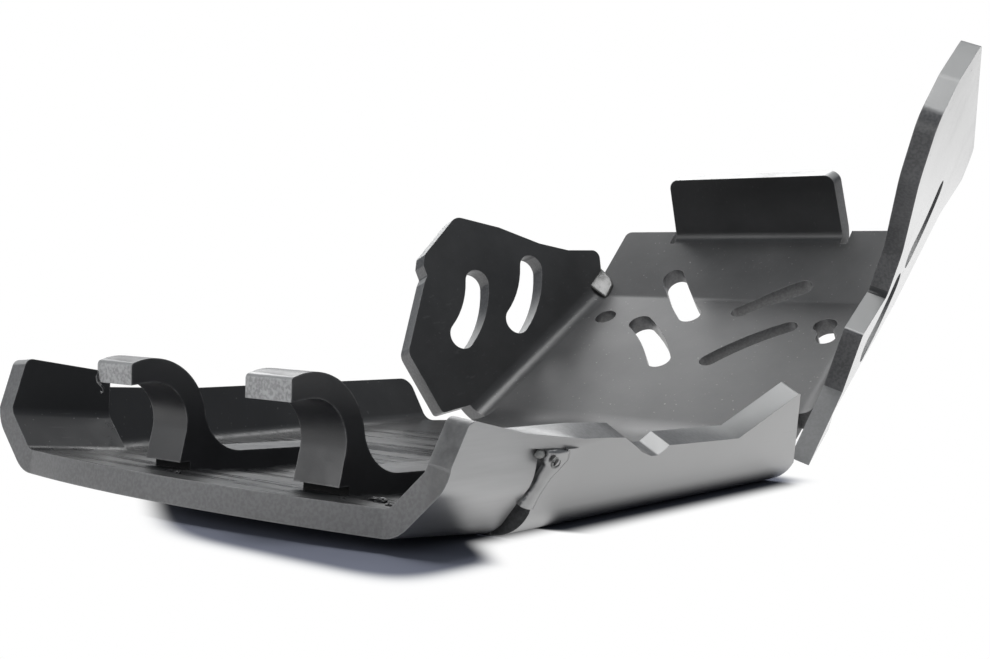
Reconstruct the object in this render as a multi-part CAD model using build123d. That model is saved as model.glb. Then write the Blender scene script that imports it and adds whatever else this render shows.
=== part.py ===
from build123d import *
import os
from math import cos, sin, tan, radians, degrees, atan2, sqrt

# Motorcycle skid plate folded from one sheet, with two tube hooks.
# Millimetres. X is the bike's right, Y is forward, Z is up.
# Z = 0 is the underside of the flat middle floor, X = 0 its middle line.

# sheet
SHEET = 8.0
FOLD_R = 5.0

# middle floor
REAR_FOLD_Y = -80.0
FRONT_FOLD_Y = 120.0
MID_HALF = 95.5
MID_WALL_ANGLE = 61.0
MID_WALL_R = 7.0
RELIEF = 2.0
RIGHT_WALL_TOP = 33.5

# rear floor and its two-step walls
REAR_TILT = 5.3
REAR_LEN = 41.0
REAR_BOW = 9.0
REAR_HALF = 87.5
REAR_FACET_ANGLE = 44.0
REAR_FACET = 23.4
REAR_WALL_ANGLE = 84.5
REAR_WALL_RIGHT = 17.5
REAR_WALL_LEFT = 22.0
REAR_WALL_DROP = 3.0
REAR_WALL_SLANT = 5.0
REAR_CORNER_R = 3.0
REAR_SETBACK_RIGHT = 4.0
BRIDGE_TALL = 4.1
BRIDGE_LAP = 1.0
BRIDGE_AHEAD = 10.0
BRIDGE_BEHIND = 12.0

# front panels and tab
LOWER_ANGLE = 33.0
LOWER_LEN = 111.0
LOWER_R = 40.0
UPPER_ANGLE = 46.6
UPPER_LEN = 48.6
UPPER_R = 10.0
UPPER_HALF = 80.0
TAB_ANGLE = 110.8
TAB_LEN = 36.7
TAB_HALF = 46.5
TAB_R = 6.0
TAB_TAPER = 1.0
TAB_CORNER_R = 5.0
TAB_NOTCH = 3.0
EAR_FOOT = 9.0
EAR_FLARE = 6.0
EAR_CORNER_R = 3.0

# wings
WING_FOLD = 65.0
WING_R = 10.0
WING_HALF_LOW = 87.5
WING_HALF_TOP = 82.0
WING_ROOT_LEFT = 4.0
WING_ROOT_RIGHT = 26.5
WING_ROOT_END = 112.0
RIGHT_WING_TALL = 134.5
RIGHT_WING_REACH = 223.0

# holes in the front panels
BOLT_D = 11.0
BOLT_HALF = 60.0
BOLT_DOWN = 20.0
SECOND_D = 9.6
SECOND_NECK_W = 7.4
SLOT_W_RIGHT = 9.0
SLOT_W_LEFT = 11.3
WING_SLOT_W = 13.5

# hooks
TUBE_D = 27.0
HOOK_GAP = 0.1
TUBE_LIFT = 0.2
HOOK_WALL = 7.5
HOOK_WIDTH_LEFT = 17.4
HOOK_WIDTH_RIGHT = 19.0
HOOK_LEFT_X = -25.7
HOOK_RIGHT_X = 45.0
HOOK_TUBE_Y = -40.0
HOOK_FOOT_END = 50.0
HOOK_TIP = 8.0
HOOK_TIP_R = 1.5
HOOK_GRIP_TOP = 95.0
HOOK_GRIP_LOW = -14.0
HOOK_SWEEP_R = 16.0
HOOK_FOOT_T = 7.0
HOOK_FOOT_TIP = 5.0
HEEL_RISE = 2.5
HEEL_DEEP = 4.0

# screws that hold the hooks from below
SCREW_D = 5.0
SCREW_HEAD_D = 10.0
SCREW_LEN = 12.4
SCREW_GAP = 0.15
SCREW_LAND = 0.4
SCREW_FORE = 14.0

# sizes that follow from the ones above
MID_TAN = (MID_WALL_R + SHEET) * tan(radians(MID_WALL_ANGLE / 2))
LOWER_TAN = (LOWER_R + SHEET) * tan(radians(LOWER_ANGLE / 2))
UPPER_TAN = (UPPER_R + SHEET) * tan(radians((UPPER_ANGLE - LOWER_ANGLE) / 2))
TAB_TAN = (TAB_R + SHEET) * tan(radians((TAB_ANGLE - UPPER_ANGLE) / 2))
WING_TAN = (WING_R + SHEET) * tan(radians(WING_FOLD / 2))
FACET_TAN = (FOLD_R + SHEET) * tan(radians(REAR_FACET_ANGLE / 2))
REAR_WALL_TURN = REAR_WALL_ANGLE - REAR_FACET_ANGLE
WALL_TAN = (FOLD_R + SHEET) * tan(radians(REAR_WALL_TURN / 2))
MID_FLAT = MID_HALF - MID_TAN
REAR_FLAT = REAR_HALF - FACET_TAN
HOOK_R = TUBE_D / 2 + HOOK_GAP
WING_SLOPE = degrees(atan2(WING_HALF_LOW - WING_HALF_TOP, LOWER_LEN))


def base_plane(origin, across, normal):
    # sheet panel frame: y runs across the fold, z from the outer to the inner face
    a = Vector(*across).normalized()
    n = Vector(*normal).normalized()
    return Plane(origin=origin, x_dir=a.cross(n), z_dir=n)


def turned(plane, shift, angle):
    # panel frame past a fold whose sharp outer corner lies at y = shift
    c = cos(radians(angle))
    s = sin(radians(angle))
    n = plane.z_dir * c - plane.y_dir * s
    return Plane(origin=plane.origin + plane.y_dir * shift, x_dir=plane.x_dir, z_dir=n)


def panel(plane, points):
    # flat piece of sheet; a third number in a point rounds that corner
    face = make_face(Polyline(*[q[:2] for q in points], close=True))
    for q in points:
        if len(q) == 3:
            corner = face.vertices().sort_by_distance((q[0], q[1], 0))[0]
            face = fillet(corner, q[2])
    return extrude(plane * Sketch(face), amount=SHEET)


def bend(plane, shift, angle, radius, x0, x1):
    # curved strip of sheet between two panels, from x0 to x1 along the fold
    mid = shift - (radius + SHEET) * tan(radians(angle / 2))
    out = radius + SHEET

    def at(r, turn):
        return (mid + r * sin(radians(turn)), out - r * cos(radians(turn)))

    loop = [
        Line(at(radius, 0), at(out, 0)),
        ThreePointArc(at(out, 0), at(out, angle / 2), at(out, angle)),
        Line(at(out, angle), at(radius, angle)),
        ThreePointArc(at(radius, angle), at(radius, angle / 2), at(radius, 0)),
    ]
    section = Plane(origin=plane.origin + plane.x_dir * x0, x_dir=plane.y_dir, z_dir=plane.x_dir)
    return extrude(section * Sketch(make_face(loop)), amount=x1 - x0)


def tilt_plane(side):
    # frame of the rear floor's side fold; side is 1 for right and -1 for left
    n = (0, sin(radians(REAR_TILT)), cos(radians(REAR_TILT)))
    return base_plane((0, REAR_FOLD_Y, 0), (side, 0, 0), n)


def rear_floor():
    n = (0, sin(radians(REAR_TILT)), cos(radians(REAR_TILT)))
    plane = Plane(origin=(0, REAR_FOLD_Y, 0), x_dir=(1, 0, 0), z_dir=n)
    # runs past the fold, to be cut back to the mitre
    ahead = SHEET / 2
    edge = ThreePointArc((-REAR_FLAT, -REAR_LEN), (0, -REAR_LEN - REAR_BOW), (REAR_FLAT, -REAR_LEN))
    rest = Polyline((REAR_FLAT, -REAR_LEN), (REAR_FLAT, ahead), (-REAR_FLAT, ahead), (-REAR_FLAT, -REAR_LEN))
    slab = extrude(plane * Sketch(make_face([edge, rest])), amount=SHEET)
    half = radians(REAR_TILT / 2)
    mitre = Plane(origin=(0, REAR_FOLD_Y, 0), x_dir=(1, 0, 0), z_dir=(0, -cos(half), sin(half)))
    return split(slab, bisect_by=mitre, keep=Keep.TOP)


def rear_planes(side):
    floor = tilt_plane(side)
    facet = turned(floor, REAR_HALF, REAR_FACET_ANGLE)
    wall = turned(facet, REAR_FACET, REAR_WALL_TURN)
    return floor, facet, wall


def rear_wall(side, height, bridged):
    # lower facet and upper wall of the rear trough on one side; where a web bridges
    # the relief slot, the front edge leans back from the slot and stops at the web
    floor, facet, wall = rear_planes(side)
    # the frame's x runs rearward on the right and forward on the left
    back = REAR_LEN * side
    front = RELIEF / 2 * side
    edge = front + REAR_SETBACK_RIGHT * side if bridged else front
    top_back = back - REAR_WALL_SLANT * side
    parts = bend(floor, REAR_HALF, REAR_FACET_ANGLE, FOLD_R, min(back, front), max(back, front))
    top = REAR_FACET - WALL_TAN
    parts += panel(facet, [(back, FACET_TAN), (front, FACET_TAN), (edge, top), (back, top)])
    parts += bend(facet, REAR_FACET, REAR_WALL_TURN, FOLD_R, min(back, edge), max(back, edge))
    fore_top = height - REAR_WALL_DROP
    fore = [(edge, fore_top, REAR_CORNER_R)]
    if bridged:
        web = BRIDGE_BEHIND * side
        under = fore_top - BRIDGE_TALL + BRIDGE_LAP
        fore = [(edge, under), (web, under), (web, fore_top)]
    parts += panel(wall, [(back, WALL_TAN), (edge, WALL_TAN)] + fore + [(top_back, height, REAR_CORNER_R)])
    return parts


def mid_floor():
    # flat floor that narrows ahead of the side walls to the front fold
    front = FRONT_FOLD_Y - LOWER_TAN
    neck = WING_HALF_LOW - WING_TAN
    right = [(MID_FLAT, REAR_FOLD_Y), (MID_FLAT, RIGHT_WALL[-1][0]), (neck, front)]
    left = [(-neck, front), (-MID_FLAT, LEFT_WALL[-1][0]), (-MID_FLAT, REAR_FOLD_Y)]
    slab = extrude(make_face(Polyline(*right, *left, close=True)), amount=SHEET)
    half = radians(REAR_TILT / 2)
    mitre = Plane(origin=(0, REAR_FOLD_Y, 0), x_dir=(1, 0, 0), z_dir=(0, -cos(half), sin(half)))
    return split(slab, bisect_by=mitre, keep=Keep.BOTTOM)


# side wall outlines of the middle section: Y along the plate, height up the wall
RIGHT_WALL = [
    (-80.5, 13.5),
    (-79.2, 20.4),
    (-77.2, 23.3),
    (-75.2, 26.4),
    (-75.2, RIGHT_WALL_TOP - BRIDGE_TALL + BRIDGE_LAP),
    (REAR_FOLD_Y + BRIDGE_AHEAD, RIGHT_WALL_TOP - BRIDGE_TALL + BRIDGE_LAP),
    (REAR_FOLD_Y + BRIDGE_AHEAD, RIGHT_WALL_TOP),
    (-55.2, 32.5),
    (-47.7, 31.8),
    (-39.1, 28.0),
    (-33.6, 25.3),
    (-26.7, 23.1, 3.0),
    (-22.6, 22.9, 2.0),
    (-18.4, 26.3, 1.0),
    (27.0, 24.8),
    (56.0, 41.4, 1.5),
    (84.0, 0.0),
]
LEFT_WALL = [
    (REAR_FOLD_Y + RELIEF / 2, 30.0, 2.0),
    (-38.0, 27.4),
    (90.0, 26.0, 6.0),
    (91.0, 0.0),
]


def mid_planes(side):
    floor = base_plane((0, 0, 0), (side, 0, 0), (0, 0, 1))
    return floor, turned(floor, MID_HALF, MID_WALL_ANGLE)


def mid_wall(side, outline):
    floor, wall = mid_planes(side)
    start = REAR_FOLD_Y + RELIEF / 2
    end = outline[-1][0]
    xs = sorted([-side * start, -side * end])
    parts = bend(floor, MID_HALF, MID_WALL_ANGLE, MID_WALL_R, xs[0], xs[1])
    points = [(start, MID_TAN)] + outline[:-1] + [(end, MID_TAN)]
    parts += panel(wall, [(-side * q[0],) + q[1:] for q in points])
    return parts


def wall_bridge():
    # web of sheet that joins the two right walls above the relief slot
    rear = rear_planes(1)[2]
    mid = mid_planes(1)[1]
    rear_top = REAR_WALL_RIGHT - REAR_WALL_DROP
    ends = []
    for plane, x, top in (
        (rear, BRIDGE_BEHIND, rear_top),
        (mid, -REAR_FOLD_Y - BRIDGE_AHEAD, RIGHT_WALL_TOP),
    ):
        low = top - BRIDGE_TALL
        loop = [(x, low, 0), (x, top, 0), (x, top, SHEET), (x, low, SHEET)]
        ends.append(make_face(Polyline(*[plane.from_local_coords(q) for q in loop], close=True)))
    return loft(ends, ruled=True)


def front_planes():
    floor = base_plane((0, 0, 0), (0, 1, 0), (0, 0, 1))
    lower = turned(floor, FRONT_FOLD_Y, LOWER_ANGLE)
    upper = turned(lower, LOWER_LEN, UPPER_ANGLE - LOWER_ANGLE)
    tab = turned(upper, UPPER_LEN, TAB_ANGLE - UPPER_ANGLE)
    return floor, lower, upper, tab


def wing_flat(v):
    # half width of the lower panel's flat part at distance v from the front fold
    sharp = WING_HALF_LOW + (WING_HALF_TOP - WING_HALF_LOW) * v / LOWER_LEN
    return sharp - WING_TAN / cos(radians(WING_SLOPE))


def front():
    floor, lower, upper, tab = front_planes()
    foot = wing_flat(LOWER_TAN)
    head = wing_flat(LOWER_LEN - UPPER_TAN)
    top = LOWER_LEN - UPPER_TAN
    parts = bend(floor, FRONT_FOLD_Y, LOWER_ANGLE, LOWER_R, -foot, foot)
    parts += panel(lower, [(-foot, LOWER_TAN), (foot, LOWER_TAN), (head, top), (-head, top)])
    parts += bend(lower, LOWER_LEN, UPPER_ANGLE - LOWER_ANGLE, UPPER_R, -head, head)
    ear = EAR_FOOT + EAR_FLARE
    inner = TAB_HALF + TAB_NOTCH
    seat = UPPER_LEN - TAB_TAN
    side = [(head, UPPER_TAN), (head, EAR_FOOT), (UPPER_HALF, ear), (UPPER_HALF, UPPER_LEN, EAR_CORNER_R)]
    shoulder = [(inner, UPPER_LEN), (inner, seat), (TAB_HALF, seat)]
    half = side + shoulder
    other = [(-q[0],) + q[1:] for q in reversed(half)]
    parts += panel(upper, half + other)
    parts += bend(upper, UPPER_LEN, TAB_ANGLE - UPPER_ANGLE, TAB_R, -TAB_HALF, TAB_HALF)
    end = TAB_HALF - TAB_TAPER
    rim = [(end, TAB_LEN, TAB_CORNER_R), (-end, TAB_LEN, TAB_CORNER_R)]
    lip = [(-TAB_HALF, TAB_TAN), (TAB_HALF, TAB_TAN)] + rim
    parts += panel(tab, lip)
    return parts


# wing outlines: distance up the fold line, distance out from the fold's sharp corner
LEFT_WING = [
    (-11.0, 18.0, 2.0),
    (-5.0, 50.0, 6.0),
    (28.0, 70.0, 2.0),
    (31.5, 71.5, 1.5),
    (33.5, 76.5, 1.5),
    (38.0, 80.0, 3.0),
    (68.0, 84.5, 7.0),
    (86.0, 66.0),
    (101.0, 46.0),
    (114.0, 33.0),
    (131.5, 21.5, 4.0),
    (124.0, 13.0, 3.0),
]
RIGHT_WING = [
    (WING_ROOT_RIGHT, 0.5),
    (3.0, 0.2),
    (34.0, 15.8),
    (43.0, 40.5, 2.0),
    (77.0, 37.0, 3.0),
    (83.0, 56.0, 14.0),
    (69.0, RIGHT_WING_TALL - 34.5, 25.0),
    (71.0, RIGHT_WING_TALL - 8.5, 10.0),
    (92.0, RIGHT_WING_TALL - 0.5, 10.0),
    (124.0, RIGHT_WING_TALL, 10.0),
    (RIGHT_WING_REACH, 28.0, 8.0),
    (RIGHT_WING_REACH - 10.0, 16.0, 5.0),
    (168.0, 23.0, 6.0),
    (119.0, 12.5),
]
LEFT_SLOTS = [
    [(26.0, 38.5), (41.0, 43.5), (53.0, 52.5)],
    [(58.5, 25.0), (73.5, 30.0), (86.5, 39.5)],
]
RIGHT_SLOTS = [
    [(62.0, 19.5), (78.0, 23.0), (92.0, 31.0)],
    [(110.0, 38.0), (125.0, 43.5), (137.0, 53.0)],
]


def wing_plane(side):
    # frame of the lower panel turned to run along the wing's fold line
    lower = front_planes()[1]
    c = cos(radians(WING_SLOPE))
    s = sin(radians(WING_SLOPE))
    across = lower.x_dir * side * c + lower.y_dir * s
    corner = lower.origin + lower.x_dir * side * WING_HALF_LOW
    return Plane(origin=corner, x_dir=across.cross(lower.z_dir), z_dir=lower.z_dir)


def wing(side, root, outline, slots):
    flat = wing_plane(side)
    plane = turned(flat, 0.0, WING_FOLD)
    # the frame's x runs down the panel on the right and up it on the left
    xs = sorted([-side * root, -side * WING_ROOT_END])
    parts = bend(flat, 0.0, WING_FOLD, WING_R, xs[0], xs[1])
    points = [(root, WING_TAN)] + outline + [(WING_ROOT_END, WING_TAN)]
    body = panel(plane, [(-side * q[0],) + q[1:] for q in points])
    for slot in slots:
        line = ThreePointArc(*[(-side * a, v) for a, v in slot])
        body -= extrude(plane * SlotArc(line, WING_SLOT_W), amount=SHEET * 3, both=True)
    return parts + body


# arc slots in the front panels: X from the middle, height from the upper fold
UPPER_SLOT_RIGHT = [(37.7, 9.2), (24.3, 1.0), (12.5, -10.0)]
UPPER_SLOT_LEFT = [(-36.2, 14.0), (-24.2, -2.0), (-12.9, -14.6)]
LOWER_SLOT_RIGHT = [(42.7, -22.6), (27.4, -36.0), (15.4, -51.4)]
LOWER_SLOT_LEFT = [(-37.3, -23.7), (-22.0, -38.1), (-10.0, -53.8)]
# second drilling that runs into the right bolt hole, from that hole's middle
SECOND_AT = (4.0, -9.4)


def front_holes():
    floor, lower, upper, tab = front_planes()
    mean = turned(lower, LOWER_LEN, (UPPER_ANGLE - LOWER_ANGLE) / 2)
    crest = Plane(origin=mean.origin, x_dir=lower.x_dir, z_dir=lower.z_dir)
    slots = [
        (mean, UPPER_SLOT_RIGHT, SLOT_W_RIGHT),
        (mean, UPPER_SLOT_LEFT, SLOT_W_LEFT),
        (crest, LOWER_SLOT_RIGHT, SLOT_W_RIGHT),
        (crest, LOWER_SLOT_LEFT, SLOT_W_LEFT),
    ]
    shapes = [plane * SlotArc(ThreePointArc(*line), width) for plane, line, width in slots]
    for side in (1, -1):
        shapes.append(crest * Pos(side * BOLT_HALF, -BOLT_DOWN) * Circle(BOLT_D / 2))
    half = (SECOND_AT[0] / 2, SECOND_AT[1] / 2)
    middle = Pos(BOLT_HALF + half[0], half[1] - BOLT_DOWN)
    shapes.append(crest * middle * SlotCenterPoint((0, 0), half, SECOND_NECK_W))
    shapes.append(crest * middle * Pos(*half) * Circle(SECOND_D / 2))
    return [extrude(shape, amount=SHEET * 3, both=True) for shape in shapes]


def hook_frame(x):
    # side-view frame of a hook: local x is forward, local y is up, origin on the rear fold
    return Plane(origin=(x, REAR_FOLD_Y, 0), x_dir=(0, 1, 0), z_dir=(1, 0, 0))


def hook(x, width):
    slope = tan(radians(REAR_TILT))
    lift = SHEET / cos(radians(REAR_TILT))
    kink = SHEET * tan(radians(REAR_TILT / 2))

    def floor_at(y):
        return lift - y * slope if y < kink else SHEET

    cy = HOOK_TUBE_Y
    cz = floor_at(cy) + (TUBE_D / 2 + TUBE_LIFT) / cos(radians(REAR_TILT))
    out = HOOK_R + HOOK_WALL

    def round_tube(r, turn):
        return (cy + r * cos(radians(turn)), cz + r * sin(radians(turn)))

    # the tip's underside and the leg's back run straight off the tube's round
    grip_top = round_tube(HOOK_R, HOOK_GRIP_TOP)
    grip_low = round_tube(HOOK_R, HOOK_GRIP_LOW)
    tip_x = cy - HOOK_TIP
    tip_low = (tip_x, grip_top[1] + (grip_top[0] - tip_x) / tan(radians(HOOK_GRIP_TOP)))
    tip_turn = degrees(atan2(sqrt(out**2 - HOOK_TIP**2), -HOOK_TIP))
    heel_z = floor_at(grip_low[0]) + HEEL_RISE
    heel_x = grip_low[0] + (grip_low[1] - heel_z) * tan(radians(HOOK_GRIP_LOW))
    toe_x = heel_x + HEEL_DEEP
    # the back of the hook sweeps down into the foot
    foot_z = SHEET + HOOK_FOOT_T
    sweep_z = foot_z + HOOK_SWEEP_R
    sweep_x = cy + sqrt((out + HOOK_SWEEP_R) ** 2 - (sweep_z - cz) ** 2)
    leave = degrees(atan2(sweep_z - cz, sweep_x - cy))
    half = radians((leave + 270.0 + 180.0) / 2)
    sweep_mid = (sweep_x + HOOK_SWEEP_R * cos(half), sweep_z + HOOK_SWEEP_R * sin(half))
    loop = [
        Line(tip_low, grip_top),
        ThreePointArc(grip_top, round_tube(HOOK_R, (HOOK_GRIP_TOP + HOOK_GRIP_LOW) / 2), grip_low),
        Polyline(
            grip_low,
            (heel_x, heel_z),
            (toe_x, heel_z),
            (toe_x, floor_at(toe_x)),
            (kink, SHEET),
            (HOOK_FOOT_END, SHEET),
            (HOOK_FOOT_END, SHEET + HOOK_FOOT_TIP),
            (sweep_x, foot_z),
        ),
        ThreePointArc((sweep_x, foot_z), sweep_mid, round_tube(out, leave)),
        ThreePointArc(round_tube(out, leave), round_tube(out, (leave + tip_turn) / 2), round_tube(out, tip_turn)),
        Line(round_tube(out, tip_turn), tip_low),
    ]
    shape = make_face(loop)
    nose = shape.vertices().sort_by_distance(round_tube(out, tip_turn) + (0,))[0]
    shape = fillet(nose, HOOK_TIP_R)
    return extrude(hook_frame(x) * Sketch(shape), amount=width / 2, both=True)


def screw_spots(x):
    # axis frames of one hook's two screws, each starting on the plate's underside
    t = radians(REAR_TILT)
    n = Vector(0, sin(t), cos(t))
    a = Vector(0, cos(t), -sin(t))
    rear = Vector(x, REAR_FOLD_Y, 0) + a * (HOOK_TUBE_Y + HOOK_R + HOOK_WALL)
    fore = Vector(x, REAR_FOLD_Y + SCREW_FORE, 0)
    side = (1, 0, 0)
    return [Plane(origin=rear, x_dir=side, z_dir=n), Plane(origin=fore, x_dir=side, z_dir=(0, 0, 1))]


def screw(plane, gap):
    # countersunk screw, head flush with the underside; gap widens it into its hole
    cone = (SCREW_HEAD_D - SCREW_D) / 2
    g = gap
    r = SCREW_D / 2 + g
    h = SCREW_HEAD_D / 2 + g
    land = SCREW_LAND
    end = SCREW_LEN + g
    outline = Polyline((0, 0), (h, 0), (h, land), (r, land + cone), (r, end), (0, end), close=True)
    section = Plane(origin=plane.origin, x_dir=plane.x_dir, z_dir=plane.x_dir.cross(plane.z_dir))
    profile = section * Sketch(make_face(outline))
    return revolve(profile, axis=Axis(plane.origin, plane.z_dir), revolution_arc=360)


def plate():
    body = mid_floor() + rear_floor()
    body += rear_wall(1, REAR_WALL_RIGHT, True)
    body += rear_wall(-1, REAR_WALL_LEFT, False)
    body += mid_wall(1, RIGHT_WALL)
    body += mid_wall(-1, LEFT_WALL)
    body += wall_bridge()
    body += front()
    body += wing(1, WING_ROOT_RIGHT, RIGHT_WING, RIGHT_SLOTS)
    body += wing(-1, WING_ROOT_LEFT, LEFT_WING, LEFT_SLOTS)
    for cut in front_holes():
        body -= cut
    for x in (HOOK_LEFT_X, HOOK_RIGHT_X):
        for spot in screw_spots(x):
            body -= screw(spot, SCREW_GAP)
    return body


def main():
    os.makedirs("parts", exist_ok=True)
    export_step(plate(), "parts/skid_plate.step")
    screws = []
    hooks = [("hook_left", HOOK_LEFT_X, HOOK_WIDTH_LEFT), ("hook_right", HOOK_RIGHT_X, HOOK_WIDTH_RIGHT)]
    for name, x, width in hooks:
        piece = hook(x, width)
        for spot in screw_spots(x):
            piece -= screw(spot, SCREW_GAP)
            screws.append(screw(spot, 0.0))
        export_step(piece, "parts/" + name + ".step")
    export_step(Compound(screws), "parts/hook_screws.step")


main()
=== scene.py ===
import math

import bmesh
import bpy
from bpy.props import FloatProperty, FloatVectorProperty, PointerProperty
from mathutils import Matrix, Vector, noise as lumpy
from mathutils.bvhtree import BVHTree


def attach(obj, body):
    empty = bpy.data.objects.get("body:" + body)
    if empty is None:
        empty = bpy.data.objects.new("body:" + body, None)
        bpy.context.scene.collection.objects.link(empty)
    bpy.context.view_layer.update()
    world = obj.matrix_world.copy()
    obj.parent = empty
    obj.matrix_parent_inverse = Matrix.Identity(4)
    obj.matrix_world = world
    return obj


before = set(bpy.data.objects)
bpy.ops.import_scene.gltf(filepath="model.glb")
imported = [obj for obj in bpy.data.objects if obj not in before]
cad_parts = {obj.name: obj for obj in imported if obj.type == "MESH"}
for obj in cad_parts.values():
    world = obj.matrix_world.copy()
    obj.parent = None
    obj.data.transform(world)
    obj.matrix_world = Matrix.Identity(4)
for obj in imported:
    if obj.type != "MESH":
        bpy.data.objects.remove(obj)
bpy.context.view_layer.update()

bl_info = {
    "name": "Folded skid plate",
    "version": (1, 0, 0),
    "blender": (4, 5, 0),
    "location": "3D View > Sidebar > Skid plate",
    "description": "Dresses the folded skid plate, its hooks and screws, and sets the studio",
    "category": "Object",
}

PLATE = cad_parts["skid_plate"]
HOOKS = [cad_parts["hook_left"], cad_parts["hook_right"]]
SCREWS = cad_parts["hook_screws"]

# material slots of the plate and of a hook; a hook's third slot paints shade into its heel gap
INNER, OUTER, CUT, WING = range(4)
BODY, TIP, HEEL_SHADE = range(3)

# the sheet's thickness, how far a measured one may be off it, and how deep the measuring starts
SHEET = 0.008
SHEET_SLACK = 0.0009
RAY_START = 0.00005

# edges that turn by more than this are corners, and points nearer than this are joined
SHARP = math.radians(35)
SEAM = 0.000005

# where a hook's sawn tip and heel gap lie, and how far they face back
TIP_Z = 0.036
TIP_Y = -0.1262
TIP_BACK = 0.15
HEEL_Z = 0.0135
HEEL_Y = -0.10
HEEL_BACK = 0.9

# the right wing lies beyond this place
WING_X = 0.085
WING_Y = 0.125

# a point inside the trough, which tells a panel's inner face from its outer one
INSIDE = Vector((0.0, 0.02, 0.15))

# where the photograph was taken from
EYE = Vector((0.3308, -0.3835, 0.0727))
EYE_RIGHT = Vector((0.77864, 0.62706, 0.02268))
EYE_UP = Vector((-0.03954, 0.01297, 0.99913))
EYE_AHEAD = Vector((-0.62622, 0.77886, -0.03490))
LENS = 49.63
SENSOR = 36.0
NEAREST = 0.01

# outline of the shade painted on the floor: its right side draws in at the relief slot,
# and its left rear corner is cut off by a slanting line
SHADE_LEFT = -0.094
SHADE_RIGHT = 0.101
SHADE_RIGHT_SLOT = 0.092
SHADE_RIGHT_REAR = 0.112
SHADE_REAR = -0.145
SHADE_FRONT = 0.10
SHADE_BOW_FROM = -0.055
SHADE_BOW_SLOT = -0.088
SHADE_BOW_TO = -0.112
SHADE_SLANT = 0.7
SHADE_SLANT_X = 0.02
SHADE_SOFT = 0.007
SHADE_ROUND = 0.025

# the floor's size, and how far it lies below the plate
FLOOR_RADIUS = 8.0
FLOOR_SIDES = 96
FLOOR_DROP = 0.0003

# the backdrop's direction, and the heights and the turn over which it fades into the room
BACKDROP_WAY = Vector((0.0, 1.0, 0.0))
BACKDROP_TOP = 0.50
BACKDROP_FULL = 0.20
BACKDROP_RIM = 0.84
BACKDROP_CORE = 0.97

# what the softboxes aim at, then each one's place, width and height
AIM = (0.0, 0.05, 0.03)
TOP_BOX = ((-0.76, 0.80, 0.88), 1.1, 1.0)
FRONT_BOX = ((-0.75, -1.30, 0.45), 1.0, 0.7)
CEILING_BOX = ((0.05, -0.05, 1.30), 0.6, 0.6)

WHITE = (1.0, 1.0, 1.0)
DUST = (0.5, 0.5, 0.48)
REAR_EDGE_DARK = (0.012, 0.012, 0.013)


# settings a user would change

class SheetLook(bpy.types.PropertyGroup):
    """Finish of the folded sheet"""

    inner: FloatVectorProperty(
        name="Inner face", description="Colour of the face towards the engine",
        subtype="COLOR", size=3, min=0, max=1, default=(0.016, 0.016, 0.017))
    outer: FloatVectorProperty(
        name="Outer face", description="Colour of the face towards the ground",
        subtype="COLOR", size=3, min=0, max=1, default=(0.030, 0.030, 0.031))
    cut: FloatVectorProperty(
        name="Cut edge", description="Colour of the sawn and milled edges",
        subtype="COLOR", size=3, min=0, max=1, default=(0.068, 0.068, 0.070))
    # painted highlight: the cut edges that lean up and back take this colour in place of the light
    # from above
    edge_highlight: FloatVectorProperty(
        name="Painted edge highlight", description="Colour of the edges that lean up and back",
        subtype="COLOR", size=3, min=0, max=1, default=(0.34, 0.34, 0.335))
    drawn: FloatVectorProperty(
        name="Drawn plastic", description="Colour of plastic drawn out by the drill or the fold",
        subtype="COLOR", size=3, min=0, max=1, default=(0.24, 0.24, 0.23))
    # also the colour of the painted sheen on the raised front
    wear: FloatVectorProperty(
        name="Rubbed edge", description="Colour that the corners take where they are rubbed",
        subtype="COLOR", size=3, min=0, max=1, default=(0.20, 0.20, 0.20))
    corner: FloatProperty(
        name="Corner rounding", description="How far a cut corner is broken",
        subtype="DISTANCE", unit="LENGTH", min=0.0, max=0.002, default=0.0005)


class HookLook(bpy.types.PropertyGroup):
    """Finish of the tube hooks"""

    body: FloatVectorProperty(
        name="Hook", description="Colour of the hooks",
        subtype="COLOR", size=3, min=0, max=1, default=(0.018, 0.018, 0.020))
    tip: FloatVectorProperty(
        name="Sawn tip", description="Colour of the hooks' sawn ends",
        subtype="COLOR", size=3, min=0, max=1, default=(0.26, 0.26, 0.26))
    corner: FloatProperty(
        name="Corner rounding", description="How far a hook's corner is broken",
        subtype="DISTANCE", unit="LENGTH", min=0.0, max=0.002, default=0.0006)


class ScrewLook(bpy.types.PropertyGroup):
    """Finish of the screws under the hooks"""

    metal: FloatVectorProperty(
        name="Screw", description="Colour of the plated steel",
        subtype="COLOR", size=3, min=0, max=1, default=(0.45, 0.45, 0.46))


class StudioLook(bpy.types.PropertyGroup):
    """Floor and light"""

    floor: FloatVectorProperty(
        name="Floor", description="Colour of the floor",
        subtype="COLOR", size=3, min=0, max=1, default=(0.85, 0.85, 0.86))
    shade: FloatVectorProperty(
        name="Shade", description="Colour of the floor under the plate",
        subtype="COLOR", size=3, min=0, max=1, default=(0.15, 0.16, 0.20))
    top_light: FloatProperty(
        name="Top softbox", description="Power of the softbox above the front of the plate",
        subtype="POWER", unit="POWER", min=0.0, default=10.5)
    front_light: FloatProperty(
        name="Front softbox", description="Power of the softbox on the viewer's left",
        subtype="POWER", unit="POWER", min=0.0, default=6.0)
    ceiling_light: FloatProperty(
        name="Ceiling softbox", description="Power of the softbox straight above",
        subtype="POWER", unit="POWER", min=0.0, default=12.0)
    fill: FloatProperty(
        name="Room fill", description="Brightness of the room away from the softboxes",
        min=0.0, max=1.0, default=0.22)
    backdrop: FloatProperty(
        name="Backdrop", description="Brightness of the backdrop behind the plate",
        min=0.0, max=1.0, default=1.0)
    tint: FloatVectorProperty(
        name="Room tint", description="Colour of the room's light",
        subtype="COLOR", size=3, min=0, max=1, default=(0.85, 0.92, 1.0))


# nodes

def add(tree, kind, **settings):
    made = tree.nodes.new(kind)
    for key, value in settings.items():
        setattr(made, key, value)
    return made


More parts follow.
